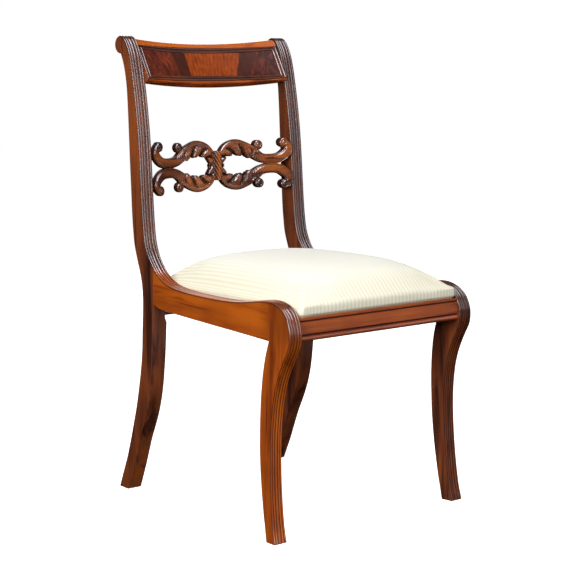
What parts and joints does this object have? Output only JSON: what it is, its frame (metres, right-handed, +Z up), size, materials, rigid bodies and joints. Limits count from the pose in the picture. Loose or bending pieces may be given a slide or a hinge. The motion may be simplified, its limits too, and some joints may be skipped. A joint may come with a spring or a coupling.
{
  "type": "side chair",
  "caption": "Wooden side chair with reeded side frames, sabre legs, a bowed crest, a carved scroll splat and a lift-out striped seat.",
  "frame": {"origin": "centre of the bounding box's footprint, on the floor under the feet", "axes": "+Z up, -Y out of the chair's front, X across the chair"},
  "size_m": [0.4788, 0.5506, 0.89],
  "materials": {
    "polished_wood": "french-polished red-brown mahogany, high gloss",
    "carved_wood": "carved and polished mahogany with darker recesses",
    "veneer": "figured mahogany veneer, polished",
    "frame_wood": "plain sawn beech",
    "striped_cover": "cream woven fabric with fine tone-on-tone stripes",
    "stuffing": "cotton wadding over foam",
    "webbing": "jute webbing",
    "dust_cloth": "black cambric",
    "screw_steel": "plain steel screws"
  },
  "bodies": {
    "chair": {"corner_block_front_left": "frame_wood", "corner_block_front_right": "frame_wood", "corner_block_rear_left": "frame_wood", "corner_block_rear_right": "frame_wood", "corner_screw_rail_front_left": "screw_steel", "corner_screw_rail_front_right": "screw_steel", "corner_screw_rail_rear_left": "screw_steel", "corner_screw_rail_rear_right": "screw_steel", "corner_screw_side_front_left": "screw_steel", "corner_screw_side_front_right": "screw_steel", "corner_screw_side_rear_left": "screw_steel", "corner_screw_side_rear_right": "screw_steel", "crest_bead_bottom": "polished_wood", "crest_bead_left": "polished_wood", "crest_bead_right": "polished_wood", "crest_bead_top": "polished_wood", "crest_panel": "veneer", "crest_rail": "polished_wood", "front_leg_left": "polished_wood", "front_leg_right": "polished_wood", "front_rail": "polished_wood", "rear_leg_left": "polished_wood", "rear_leg_right": "polished_wood", "rear_rail": "polished_wood", "side_rail_left": "polished_wood", "side_rail_right": "polished_wood", "splat_dowel_lower_left": "frame_wood", "splat_dowel_lower_right": "frame_wood", "splat_dowel_upper_left": "frame_wood", "splat_dowel_upper_right": "frame_wood", "splat_rope": "carved_wood", "splat_scroll_left": "carved_wood", "splat_scroll_right": "carved_wood"},
    "seat": {"seat_cover": "striped_cover", "seat_dust_cloth": "dust_cloth", "seat_frame_front": "frame_wood", "seat_frame_left": "frame_wood", "seat_frame_rear": "frame_wood", "seat_frame_right": "frame_wood", "seat_stuffing": "stuffing", "seat_web_across_1": "webbing", "seat_web_across_2": "webbing", "seat_web_across_3": "webbing", "seat_web_along_1": "webbing", "seat_web_along_2": "webbing", "seat_web_along_3": "webbing"}
  },
  "joints": [
    {"name": "seat_lift", "type": "slide", "parent": "chair", "child": "seat", "axis": [0, 0, 1], "range_m": [0, 0.2]}
  ]
}
